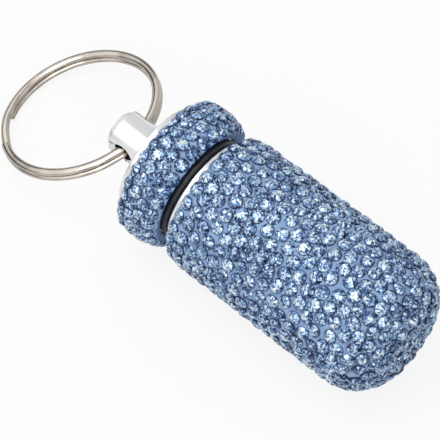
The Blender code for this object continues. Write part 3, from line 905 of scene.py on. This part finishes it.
@dataclass
class StoneCoat:
    """Putty round a turned part, set all over with stones.

    It closes over the part's end, with its bore's end at end_place, or is an open belt if that is None.
    """

    name: str
    axis: Axis
    outline: Outline
    bore_radius: float
    end_place: float | None
    seed: int
    cut: StoneCut = StoneCut()
    stones_finish: FoiledStones = FoiledStones()
    putty_finish: Putty = Putty()
    pitch: float = 0.00235
    least_spacing: float = 0.00226
    first_setback: float = 0.001
    last_setback: float = 0.001
    jitter: float = 0.0007
    rounds: int = 30
    push_share: float = 0.4
    edge_wander: float = 0.00022
    wander_rows: float = 2
    wander_waves: tuple[int, ...] = (2, 3, 4, 5)
    depth_spread: float = 0.0001
    tilt: float = 8
    size_spread: float = 0.06
    oversize_share: float = 0.4
    # Painted light on the facets: a random spread, and more light on facets that face one fixed side, less on
    # the others.
    light_spread: float = 0.3
    least_crown_light: float = 0.2
    painted_light_side: tuple[float, float, float] = (-0.58, -0.65, 0.5)
    painted_side_light: float = 0.12
    putty_step: float = 0.00025
    putty_swell: float = 0.00016
    swell_start: float = 0.97
    swell_reach: float = 0.00035
    edge_margin: float = 0.00012
    edge_scallop: float = 0.0002
    putty_drop: float = 0.00014
    sharp_angle: float = 55

    @property
    def stretch(self) -> tuple[float, float]:
        """The distances along the outline between which the stones' middles lie."""
        setback = self.last_setback if self.end_place is None else 0
        return self.first_setback, self.outline.length - setback

    def wander(self, angle: np.ndarray) -> np.ndarray:
        """Return the edge's slow wandering along the axis, for angles round it."""
        phases = np.random.default_rng(self.seed + 3).uniform(0, TURN, len(self.wander_waves))
        waves = [np.sin(count * angle + phase) for count, phase in zip(self.wander_waves, phases)]
        return self.edge_wander * sum(waves) / math.sqrt(len(waves))

    def in_rows(self) -> tuple[np.ndarray, np.ndarray]:
        """Return the distances along the outline and the angles of stones in staggered rows."""
        low, high = self.stretch
        places = np.linspace(low, high, round((high - low) / (self.pitch * math.sqrt(3) / 2)) + 1)
        flat, _ = self.outline.at(places)
        distance: list[float] = []
        angle: list[float] = []
        for row, (place, radius) in enumerate(zip(places, flat[:, 1])):
            count = max(1, round(TURN * float(radius) / self.pitch))
            distance += [place] * count
            angle += list((np.arange(count) + row % 2 / 2) * TURN / count)
        return np.array(distance), np.array(angle)

    def pushed_apart(self, along: np.ndarray, angle: np.ndarray) -> tuple[np.ndarray, np.ndarray]:
        """Push stones off their neighbours, over the surface, until they lie side by side.

        Args:
            along: The distance along the outline of each stone.
            angle: The angle of each stone.

        Returns:
            The new distances and angles.
        """
        for _ in range(self.rounds):
            flat, _ = self.outline.at(along)
            places = self.axis.points(flat[:, 0], flat[:, 1], angle)
            gaps = places[:, None] - places[None]
            lengths = np.linalg.norm(gaps, axis=-1) + np.eye(len(places))
            push = np.clip(self.least_spacing - lengths, 0, None) * (1 - np.eye(len(places)))
            places += self.push_share * (gaps / lengths[..., None] * push[..., None]).sum(axis=1)
            x, radius, angle = self.axis.measured(places)
            along = np.clip(self.outline.nearest(np.stack([x, radius], -1)), *self.stretch)
        return along, angle

    def layout(self) -> tuple[np.ndarray, np.ndarray]:
        """Place the stones: in rows at first, then nudged and pushed apart, with the edge rows wandering.

        Returns:
            The distance along the outline and the angle of each stone.
        """
        rng = np.random.default_rng(self.seed)
        low, high = self.stretch
        distance, angle = self.in_rows()
        inner = (distance > low) & (distance < high)
        along = distance + rng.uniform(-self.jitter, self.jitter, len(distance)) * inner
        flat, _ = self.outline.at(along)
        nudge = rng.uniform(-self.jitter, self.jitter, len(distance)) * inner
        along, angle = self.pushed_apart(along, angle + nudge / np.maximum(flat[:, 1], self.pitch))
        near = fading(along - low, self.wander_rows * self.pitch)
        if self.end_place is None:
            near = near - fading(high - along, self.wander_rows * self.pitch)
        return along + near * self.wander(angle), angle

    def stone_places(self) -> tuple[np.ndarray, np.ndarray]:
        """Return the world places of the stones' girdles, and the directions that their tables face."""
        along, angle = self.layout()
        flat, outwards = self.outline.at(along)
        rng = np.random.default_rng(self.seed + 1)
        sunk = self.cut.crown_height + rng.uniform(0, self.depth_spread, len(along))
        flat = flat - outwards * sunk[:, None]
        places = self.axis.points(flat[:, 0], flat[:, 1], angle)
        return places, self.axis.directions(outwards[:, 0], outwards[:, 1], angle)

    def set_stones(self, places: np.ndarray, facing: np.ndarray) -> bpy.types.Object:
        """Set a stone at each place, turned, tilted and sized a little apart from its neighbours.

        Args:
            places: The girdles' middles.
            facing: The directions that the tables face.

        Returns:
            The stones as one mesh.
        """
        material = self.stones_finish.material()
        piece = mesh_object(f"{self.name}_stones", places, [], material)
        store_vectors(piece, "facing", facing)
        template = self.cut.template(self.stones_finish)

        tree = GeometryTree(f"{self.name}_stone_setting")
        stone = tree.given("Stone", "NodeSocketObject", template)
        tilt = tree.number("Tilt", math.radians(self.tilt))
        spread = tree.number("Size Spread", self.size_spread)
        light_spread = tree.number("Facet Light Spread", self.light_spread)
        painted_light_side = tree.given("Bright Side", "NodeSocketVector", self.painted_light_side)
        painted_side_strength = tree.number("Bright Side Light", self.painted_side_light)
        seed = tree.count("Seed", self.seed)

        normal = tree.named("facing", "FLOAT_VECTOR")
        upright = tree.node("FunctionNodeAlignRotationToVector", {"axis": "Z"}, {"Vector": normal})
        lean = [tree.random(0 - tilt, tilt, seed + step) for step in (1, 2)]
        turns = tree.vector(*lean, tree.random(0, TURN, seed))
        spin = tree.node("FunctionNodeEulerToRotation", {}, {0: turns})
        rotation = tree.node("FunctionNodeRotateRotation", {"rotation_space": "LOCAL"}, {0: upright, 1: spin})
        cut = tree.node("GeometryNodeObjectInfo", {}, {"Object": stone}, "Geometry")
        size = tree.random(1 - spread, 1 + spread * self.oversize_share, seed + 3)
        inputs = {"Points": tree.source, "Instance": cut, "Rotation": rotation, "Scale": size}
        stones = tree.node("GeometryNodeInstanceOnPoints", {}, inputs)
        stones = tree.stored(stones, "INSTANCE", self.stones_finish.tint_name, tree.random(0, 1, seed + 4))
        stones = tree.node("GeometryNodeRealizeInstances", {}, {0: stones})
        # Painted light: crown facets get a random painted sparkle, and are painted lighter the more they face
        # the painted light side.
        own = tree.named(self.stones_finish.light_name)
        side = {0: tree.node("GeometryNodeInputNormal"), 1: painted_light_side}
        lit = tree.node("ShaderNodeVectorMath", {"operation": "DOT_PRODUCT"}, side, "Value") * painted_side_strength
        half = light_spread * 0.5
        crown = tree.math("GREATER_THAN", own, self.least_crown_light)
        light = own + (tree.random(0 - half, half, seed + 5) + lit) * crown
        tree.finish(tree.stored(stones, "FACE", self.stones_finish.light_name, light), material)
        tree.run(piece)
        bpy.data.objects.remove(template)
        return piece

    def scalloped(self, edge: float, stones: np.ndarray, angles: np.ndarray, side: int) -> np.ndarray:
        """Return how far the putty's edge reaches along the axis, round the stones next to it.

        Args:
            edge: The place of the edge where it is straight.
            stones: The world places of the stones' girdles.
            angles: The angles round the axis.
            side: 1 for the edge towards the closed end, -1 for the edge towards the key ring.

        Returns:
            The edge's places, less the straight edge's, for each angle.
        """
        place, radius, turned = self.axis.measured(stones)
        apart = (angles[:, None] - turned[None] + math.pi) % TURN - math.pi
        reach = self.cut.radius + self.edge_margin
        room = np.clip(reach ** 2 - (apart * radius) ** 2, 0, None)
        along = np.where(room > 0, place + side * np.sqrt(room), -side * math.inf)
        outermost = side * (side * along).max(axis=1)
        reached = np.clip(outermost - edge, -self.edge_scallop, self.edge_scallop)
        return (reached + np.roll(reached, 1) + np.roll(reached, -1)) / 3

    def press_putty(self, stones: np.ndarray) -> bpy.types.Object:
        """Model the putty, which swells up between the stones and ends round the outermost ones.

        Args:
            stones: The middles of the stones' girdles.

        Returns:
            The putty as a closed solid.
        """
        rows = math.ceil(self.outline.length / self.putty_step)
        distance = np.linspace(0, self.outline.length, rows + 1)
        if self.end_place is not None:
            distance = distance[:-1]
        flat, outwards = self.outline.at(distance)
        angles = around(math.ceil(TURN * flat[:, 1].max() / self.putty_step))
        flat = flat - outwards * (self.cut.crown_height + self.putty_drop)
        reach = fading(distance, self.pitch)[:, None] * self.scalloped(flat[0, 0], stones, angles, -1)
        if self.end_place is None:
            near = fading(self.outline.length - distance, self.pitch)
            reach = reach + near[:, None] * self.scalloped(flat[-1, 0], stones, angles, 1)
        surface = self.axis.points(flat[:, :1] + reach, flat[:, 1:], angles[None])
        gap = np.full(surface.shape[:2], np.inf)
        for stone in stones:
            gap = np.minimum(gap, np.linalg.norm(surface - stone, axis=-1))
        share = np.clip((gap - self.cut.radius * self.swell_start) / self.swell_reach, 0, 1)
        lift = self.putty_swell * eased(share)
        out = self.axis.directions(outwards[:, :1], outwards[:, 1:], angles[None])
        return self.closed_coat(surface + out * lift[..., None], angles, flat)

    def closed_coat(self, surface: np.ndarray, angles: np.ndarray, flat: np.ndarray) -> bpy.types.Object:
        """Close the putty's outer surface with its bore.

        Args:
            surface: The outer points, by row and step.
            angles: The angle of each step.
            flat: The rows' places along and from the axis, before they reach round the stones.

        Returns:
            The putty.
        """
        if self.end_place is None:
            inside: Profile = [(float(flat[-1, 0]) - self.edge_scallop, self.bore_radius)]
        else:
            tip = float(self.outline.points[-1, 0]) - self.cut.crown_height - self.putty_drop
            inside = [(tip, 0), (self.end_place, 0), (self.end_place, self.bore_radius)]
        inside.append((float(flat[0, 0]) + self.edge_scallop, self.bore_radius))
        rows = [*surface, *(self.axis.ring(along, radius, angles) for along, radius in inside)]
        return loft(f"{self.name}_putty", rows, self.putty_finish.material(), closed=True)

    def build(self, body: Body) -> None:
        """Make the coat's two pieces and let them ride on a body."""
        places, facing = self.stone_places()
        log.info("%s: %d stones", self.name, len(places))
        settle(self.set_stones(places, facing), body, f"{self.name}_stones")
        settle(self.press_putty(places), body, f"{self.name}_putty", self.sharp_angle)


@dataclass
class Container:
    """The tube that holds the pills, closed at one end, with its coat."""

    axis: Axis
    metal: PolishedAluminium
    wall: float = 0.0013
    floor: float = 0.0015
    floor_fillet: float = 0.0012
    edge_radius: float = 0.00025
    thread_setback: float = 0.00125
    thread_height: float = 0.00065
    coat_start: float = 0.0009
    coat_edge_depth: float = 0.00155
    shoulder_radius: float = 0.006
    end_radius: float = 0.0073
    narrowing: float = 0.00012
    swell: float = 0.00008
    clearance: float = 0.00003
    turn_steps: int = 128
    edge_steps: int = 5
    end_edge_steps: int = 4
    fillet_steps: int = 8
    shoulder_steps: int = 30
    side_steps: int = 24
    end_steps: int = 40
    sharp_angle: float = 40
    coat_seed: int = 11

    def __post_init__(self) -> None:
        """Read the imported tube's and coat's main sizes."""
        self.rim, self.end, self.radius = self.axis.extent("body_tube")
        _, self.coat_end, self.coat_radius = self.axis.extent("body_stones")

    def build_tube(self) -> None:
        """Turn the tube, with rounded rim edges and its thread inside the mouth."""
        edge = self.edge_radius
        bore = self.radius - self.wall
        thread = Thread(self.rim + self.thread_setback, bore, bore - self.thread_height)
        profile: Profile = [(self.end, 0), (self.end, self.radius - edge)]
        profile += arc((self.end - edge, self.radius - edge), edge, 90, 0, self.end_edge_steps)[1:]
        profile += arc((self.rim + edge, self.radius - edge), edge, 0, -90, self.edge_steps)
        profile += arc((self.rim + edge, bore + edge), edge, -90, -180, self.edge_steps)
        profile += thread.wall()
        fillet = self.floor_fillet
        floor = self.end - self.floor
        profile += arc((floor - fillet, bore - fillet), fillet, 0, 90, self.fillet_steps)
        profile.append((floor, 0))
        material = self.metal.material()
        tube = self.axis.turned("body_tube_fine", profile, self.turn_steps, material, thread=thread)
        settle(tube, Body.CONTAINER, "body_tube", self.sharp_angle)

    def coat_outline(self) -> Outline:
        """Return the line of the coat's stones, over the shoulder and the side to the end's middle."""
        narrow = self.coat_radius - self.narrowing
        wide = self.coat_radius + self.swell
        slope = math.acos(1 - (narrow - self.radius - self.coat_edge_depth) / self.shoulder_radius)
        start = self.rim + self.coat_start + self.shoulder_radius * math.sin(slope)
        shoulder = (start, narrow - self.shoulder_radius)
        end = (self.coat_end - self.end_radius, wide - self.end_radius)
        points = arc(shoulder, self.shoulder_radius, -math.degrees(slope), 0, self.shoulder_steps)
        for step in range(1, self.side_steps):
            share = step / self.side_steps
            points.append((start + (end[0] - start) * share, narrow + (wide - narrow) * eased(share)))
        points += arc(end, self.end_radius, 0, 90, self.end_steps)
        points.append((self.coat_end, 0))
        return Outline(points)

    def build(self) -> None:
        """Make the tube and its coat."""
        self.build_tube()
        bore_radius, end_place = self.radius + self.clearance, self.end + self.clearance
        coat = StoneCoat("body", self.axis, self.coat_outline(), bore_radius, end_place, self.coat_seed)
        coat.build(Body.CONTAINER)


@dataclass
class Cap:
    """The screw cap: plug, neck, disc and drilled boss, with the coat round its side."""

    axis: Axis
    metal: PolishedAluminium
    neck_radius: float = 0.0067
    neck_end: float = 0.00065
    neck_step: float = 0.00035
    plug_root_radius: float = 0.00635
    thread_height: float = 0.00065
    thread_start: float = 0.00125
    plug_bore_radius: float = 0.0052
    length: float = 0.00765
    top_wall: float = 0.0015
    edge_radius: float = 0.00025
    boss_radius: float = 0.0034
    boss_chamfer: float = 0.00075
    chamfer_softness: float = 0.25
    boss_fillet: float = 0.0008
    hole_radius: float = 0.0016
    hole_flare: float = 0.00025
    drill_reach: float = 1.2
    coat_corner: float = 0.0025
    coat_slope_radius: float = 0.006
    coat_slope: float = 35.7
    coat_reach: float = 0.00008
    coat_drop: float = 86
    bare_edge: float = 0.00205
    stone_pitch: float = 0.0023
    clearance: float = 0.00003
    turn_steps: int = 144
    hole_steps: int = 64
    edge_steps: int = 5
    plug_edge_steps: int = 4
    chamfer_steps: int = 3
    fillet_steps: int = 8
    corner_steps: int = 30
    slope_steps: int = 40
    sharp_angle: float = 40
    coat_seed: int = 5

    def __post_init__(self) -> None:
        """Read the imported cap's and coat's main sizes."""
        self.boss_end, self.plug_end, self.radius = self.axis.extent("cap_shell")
        self.coat_low, _, self.coat_radius = self.axis.extent("cap_stones")
        rim, _, _ = self.axis.extent("body_tube")
        self.shoulder = -rim
        self.disc = self.shoulder - self.length
        self.hole = joint_place("ring_swing").x - self.axis.seal_x

    def build_shell(self) -> None:
        """Turn the cap from its boss over disc, side, neck and plug into its bore, and drill the boss."""
        edge = self.edge_radius
        root = self.plug_root_radius
        thread = Thread(self.thread_start, root, root + self.thread_height)
        chamfer = self.boss_chamfer
        soft = chamfer * self.chamfer_softness
        profile: Profile = [(self.boss_end, 0)]
        start = (self.boss_end + soft, self.boss_radius - chamfer - soft)
        profile += arc(start, soft, -90, -45, self.chamfer_steps)
        end = (self.boss_end + chamfer + soft, self.boss_radius - soft)
        profile += arc(end, soft, -45, 0, self.chamfer_steps)
        fillet = self.boss_fillet
        profile += arc((self.disc - fillet, self.boss_radius + fillet), fillet, 180, 90, self.fillet_steps)
        profile += arc((self.disc + edge, self.radius - edge), edge, -90, 0, self.edge_steps)
        profile += arc((self.shoulder - edge, self.radius - edge), edge, 0, 90, self.edge_steps)
        profile += [(self.shoulder, self.neck_radius), (self.neck_end - self.neck_step, self.neck_radius)]
        profile += thread.wall()
        profile += arc((self.plug_end - edge, root - edge), edge, 0, 90, self.plug_edge_steps)
        bore = self.plug_bore_radius
        profile += [(self.plug_end, bore + edge / 2), (self.plug_end - edge / 2, bore)]
        profile += [(self.disc + self.top_wall, bore), (self.disc + self.top_wall, 0)]
        material = self.metal.material()
        shell = self.axis.turned("cap_shell_fine", profile, self.turn_steps, material, thread=thread)
        self.drill(shell)
        settle(shell, Body.CAP, "cap_shell", self.sharp_angle)

    def drill(self, shell: bpy.types.Object) -> None:
        """Cut the cross hole, which opens out a little at both ends."""
        reach = self.boss_radius * self.drill_reach
        waist = math.sqrt(self.boss_radius ** 2 - self.hole_radius ** 2) - self.hole_flare
        mouth_radius = self.hole_radius + reach - waist
        stations = (
            (-reach, mouth_radius),
            (-waist, self.hole_radius),
            (waist, self.hole_radius),
            (reach, mouth_radius),
        )
        angles = around(self.hole_steps)
        rows = []
        for across, radius in stations:
            x = self.axis.seal_x + self.hole + radius * np.cos(angles)
            z = self.axis.height + radius * np.sin(angles)
            rows.append(np.stack([x, np.full(len(angles), across), z], -1))
        cutter = loft("cross_drill", rows, None)
        cut = shell.modifiers.new("cross_hole", "BOOLEAN")
        cut.operation = "DIFFERENCE"
        cut.object = cutter
        as_plain_mesh(shell)
        bpy.data.objects.remove(cutter)

    def coat_outline(self) -> Outline:
        """Return the line of the belt's stones, from the disc's side to the tube's."""
        corner = self.coat_corner
        near = (self.coat_low + corner, self.coat_radius - corner)
        slope = self.coat_slope_radius
        far = (self.coat_reach - slope * math.sin(math.radians(self.coat_slope)), self.coat_radius - slope)
        points = arc(near, corner, -self.coat_drop, 0, self.corner_steps)
        points += arc(far, slope, 0, self.coat_slope, self.slope_steps)
        return Outline(points)

    def build(self) -> None:
        """Make the shell and its coat."""
        self.build_shell()
        coat = StoneCoat(
            "cap", self.axis, self.coat_outline(), self.radius + self.clearance, None, self.coat_seed,
            pitch=self.stone_pitch, first_setback=self.bare_edge,
        )
        coat.build(Body.CAP)


@dataclass
class Seal:
    """The rubber ring between the cap's shoulder and the tube's rim."""

    axis: Axis
    rubber: BlackRubber
    squareness: float = 2.6
    side_clearance: float = 0.00012
    seam_height: float = 0.00004
    section_steps: int = 40
    turn_steps: int = 160
    sharp_angle: float = 70

    def build(self) -> None:
        """Turn the ring from a squeezed round section, with the mould's fine seam on its outside."""
        _, _, outer = self.axis.extent("o_ring")
        rim, _, _ = self.axis.extent("body_tube")
        half_width = rim - self.side_clearance
        inner = Cap.neck_radius + self.side_clearance
        middle = (outer + inner) / 2
        half_depth = (outer - inner) / 2
        power = 2 / self.squareness
        profile: Profile = []
        for step, angle in enumerate(around(self.section_steps)):
            across, out = math.sin(angle), math.cos(angle)
            along = half_width * math.copysign(abs(across) ** power, across)
            depth = half_depth * math.copysign(abs(out) ** power, out)
            seam = self.seam_height if step == 0 else 0
            profile.append((along, middle + depth + seam))
        ring = self.axis.turned("o_ring_fine", profile, self.turn_steps, self.rubber.material(), closed=True)
        settle(ring, Body.SEAL, "o_ring", self.sharp_angle)


@dataclass
class KeyRing:
    """The split ring: two loops of flat wire that lie on each other and change layers between their ends."""

    axis: Axis
    nickel: NickelPlate
    radius: float = 0.01198
    wire_width: float = 0.0013
    wire_thickness: float = 0.00096
    layer_gap: float = 0.00004
    upper_end: float = -58
    layer_change: float = 33
    steps: int = 420
    section_steps: int = 28
    sharp_angle: float = 50

    def build(self) -> None:
        """Sweep the wire's section along its two loops."""
        hole = joint_place("ring_swing")
        far = 2 * self.radius + self.wire_width / 2
        half_height = self.wire_thickness + self.layer_gap / 2
        slope = math.asin(self.axis.height / math.hypot(far, half_height)) - math.atan2(half_height, far)
        change_turns = self.layer_change / 360

        tree = GeometryTree("split_ring_winding")
        radius = tree.number("Loop Radius", self.radius)
        width = tree.number("Wire Width", self.wire_width)
        thickness = tree.number("Wire Thickness", self.wire_thickness)
        gap = tree.number("Layer Gap", self.layer_gap)
        start = tree.number("Upper End Angle", math.radians(self.upper_end))
        change = tree.number("Layer Change Turns", change_turns)
        whole = tree.number("Turns", 2 - change_turns)
        count = tree.count("Steps", self.steps)
        section_count = tree.count("Section Steps", self.section_steps)

        line = tree.node("GeometryNodeCurvePrimitiveLine")
        line = tree.node("GeometryNodeResampleCurve", {}, {"Curve": line, "Count": count})
        turn = tree.node("GeometryNodeInputIndex") / (count - 1) * whole
        angle = start - turn * TURN
        level_turns = (whole - change) / 2
        share = tree.ramp(turn, level_turns, change)
        level = (thickness + gap) / 2 * tree.math("COSINE", share * math.pi)
        x = 0 - radius * (1 + tree.math("COSINE", angle))
        y = radius * tree.math("SINE", angle)
        inputs = {"Geometry": line, "Position": tree.vector(x, y, level)}
        loops = tree.node("GeometryNodeSetPosition", {}, inputs)
        loops = tree.node("GeometryNodeSetCurveNormal", {"mode": "Z_UP"}, {"Curve": loops})
        bar = tree.node("GeometryNodeCurvePrimitiveCircle", {}, {"Resolution": section_count, "Radius": 0.5})
        inputs = {"Geometry": bar, "Scale": tree.vector(width, thickness, 1)}
        bar = tree.node("GeometryNodeTransform", {}, inputs)
        inputs = {"Curve": loops, "Profile Curve": bar, "Fill Caps": True}
        wire = tree.node("GeometryNodeCurveToMesh", {}, inputs)
        inputs = {"Geometry": wire, "Rotation": (0, -slope, 0), "Translation": tuple(hole)}
        wire = tree.node("GeometryNodeTransform", {}, inputs)
        material = self.nickel.material()
        tree.finish(wire, material)
        ring = tree.run(mesh_object("split_ring_fine", np.zeros((1, 3)), [], material))
        face_outwards(ring)
        settle(ring, Body.KEY_RING, "split_ring", self.sharp_angle)


def joint_place(name: str) -> Vector:
    """Return a joint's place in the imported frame."""
    return Vector(next(joint["pos_m"] for joint in frame["joints"] if joint["name"] == name))


@dataclass(frozen=True)
class Lamp:
    """A soft square lamp that points at the object."""

    name: str
    place: tuple[float, float, float]
    size: float
    power: float

    def hang(self) -> None:
        """Hang the lamp in the scene."""
        data = bpy.data.lights.new(self.name, "AREA")
        data.shape = "SQUARE"
        data.size = self.size
        data.energy = self.power
        lamp = bpy.data.objects.new(self.name, data)
        lamp.location = self.place
        lamp.rotation_mode = "QUATERNION"
        lamp.rotation_quaternion = (-Vector(self.place)).to_track_quat("-Z", "Y")
        bpy.context.scene.collection.objects.link(lamp)


@dataclass
class Studio:
    """Camera, soft lamps, pale floor and white surroundings."""

    axis: Axis
    azimuth: float = 40.5
    elevation: float = 62.3
    distance: float = 0.6
    pixels_per_metre: float = 6910
    frame_pixels: int = 440
    seal_pixel: tuple[float, float] = (200.9, 188.8)
    sensor: float = 36
    clip_factor: float = 20
    lamps: tuple[Lamp, ...] = (
        Lamp("softbox_above", place=(-0.12, -0.1, 0.5), size=0.3, power=0.85),
        Lamp("softbox_right", place=(0.4, -0.28, 0.3), size=0.25, power=0.3),
    )
    floor_radius: float = 2
    floor_steps: int = 96
    floor_colour: Colour = (0.86, 0.86, 0.86)
    floor_light: float = 1.02
    shadow_share: float = 0.16
    mirrored_floor_share: float = 0.15
    world_light: float = 0.62
    horizon: float = 0.2
    horizon_blur: float = 0.05
    horizon_light: float = 0.04
    horizon_sides: float = 0.55
    side_blur: float = 0.1
    open_side_light: float = 0.84
    overhead_light: float = 1.45
    overhead_start: float = 0.25
    overhead_blur: float = 0.45
    far_side_light: float = 0.7
    far_side_start: float = 0.22
    far_side_blur: float = 0.1

    def axes(self) -> tuple[Vector, Vector, Vector]:
        """Return the directions from the object to the camera, to the picture's right and to its top."""
        turn, rise = math.radians(self.azimuth), math.radians(self.elevation)
        back = Vector((math.sin(turn) * math.cos(rise), -math.cos(turn) * math.cos(rise), math.sin(rise)))
        right = Vector((math.cos(turn), math.sin(turn), 0))
        return back, right, back.cross(right)

    def build_camera(self) -> None:
        """Stand the camera where the photograph was taken from."""
        back, right, up = self.axes()
        middle = self.frame_pixels / 2
        aside = (middle - self.seal_pixel[0]) / self.pixels_per_metre
        below = (middle - self.seal_pixel[1]) / self.pixels_per_metre
        seal = Vector((self.axis.seal_x, 0, self.axis.height))
        target = seal + right * aside - up * below
        data = bpy.data.cameras.new("camera")
        data.sensor_width = self.sensor
        data.lens = self.pixels_per_metre * self.distance * self.sensor / self.frame_pixels
        data.clip_start = self.distance / self.clip_factor
        data.clip_end = self.distance * self.clip_factor
        camera = bpy.data.objects.new("camera", data)
        turned = Matrix((right, up, back)).transposed().to_quaternion()
        camera.rotation_mode = "QUATERNION"
        camera.rotation_quaternion = turned
        camera.location = target + back * self.distance
        bpy.context.scene.collection.objects.link(camera)
        bpy.context.scene.camera = camera

    @staticmethod
    def seen(graph: Graph) -> tuple[Value, Value]:
        """Return 1 for camera rays, and 1 for rays that a mirror or glass sends on."""
        path = graph.node("ShaderNodeLightPath", output="Is Camera Ray")
        return path, graph.math("MAXIMUM", path.output("Is Glossy Ray"), path.output("Is Transmission Ray"))

    def build_floor(self) -> None:
        """Lay the pale floor, which keeps a faint shadow."""
        angles = around(self.floor_steps)
        rim = np.stack([np.cos(angles), np.sin(angles), np.zeros(len(angles))], -1) * self.floor_radius
        material = bpy.data.materials.new("pale_floor")
        material.use_nodes = True
        material.node_tree.nodes.clear()
        graph = Graph(material.node_tree)
        lit = graph.node("ShaderNodeBsdfDiffuse", {}, {"Color": (*self.floor_colour, 1)})
        white = graph.node("ShaderNodeEmission", {}, {"Color": WHITE, "Strength": self.floor_light})
        straight, mirrored = self.seen(graph)
        share = straight * (1 - self.shadow_share) + mirrored * self.mirrored_floor_share
        mixed = graph.node("ShaderNodeMixShader", {}, {0: share, 1: lit, 2: white})
        graph.node("ShaderNodeOutputMaterial", {}, {"Surface": mixed})
        floor = mesh_object("floor", rim, [range(len(angles))], material)

    def build_world(self) -> None:
        """Surround the object with white, which metal and stones see as a bright room over a dark horizon."""
        world = bpy.data.worlds.new("studio")
        world.use_nodes = True
        world.node_tree.nodes.clear()
        graph = Graph(world.node_tree)
        direction = graph.node("ShaderNodeTexCoord", output="Generated")
        parts = graph.node("ShaderNodeSeparateXYZ", {}, {0: direction})
        inside = graph.clamped((self.horizon_sides - graph.math("ABSOLUTE", parts)) / self.side_blur)
        far_side = graph.ramp(parts.output(1), self.far_side_start, self.far_side_blur) * inside
        overhead = graph.ramp(parts.output(2), self.overhead_start, self.overhead_blur)
        above = graph.ramp(parts.output(2), self.horizon, self.horizon_blur)
        room = graph.between(self.open_side_light, self.overhead_light, overhead)
        room = graph.between(room, self.far_side_light, far_side)
        room = graph.between(self.horizon_light, room, graph.math("MAXIMUM", above, inside))
        straight, mirrored = self.seen(graph)
        light = straight + (1 - straight) * graph.between(self.world_light, room, mirrored)
        surroundings = graph.node("ShaderNodeBackground", {}, {"Color": WHITE, "Strength": light})
        graph.node("ShaderNodeOutputWorld", {}, {"Surface": surroundings})
        bpy.context.scene.world = world

    def build(self) -> None:
        """Set up the studio."""
        self.build_camera()
        self.build_floor()
        self.build_world()
        for lamp in self.lamps:
            lamp.hang()
        bpy.context.scene.view_settings.view_transform = "Standard"


def main() -> None:
    """Build the capsule's sub-assemblies in order, and the studio round them."""
    logging.basicConfig(level=logging.INFO, format="%(message)s")
    low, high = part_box("o_ring")
    axis = Axis((low.x + high.x) / 2, (low.z + high.z) / 2)
    metal = PolishedAluminium(axis_z=axis.height)
    Container(axis, metal).build()
    Cap(axis, metal).build()
    Seal(axis, BlackRubber()).build()
    KeyRing(axis, NickelPlate()).build()
    Studio(axis).build()


if __name__ == "__main__":
    main()
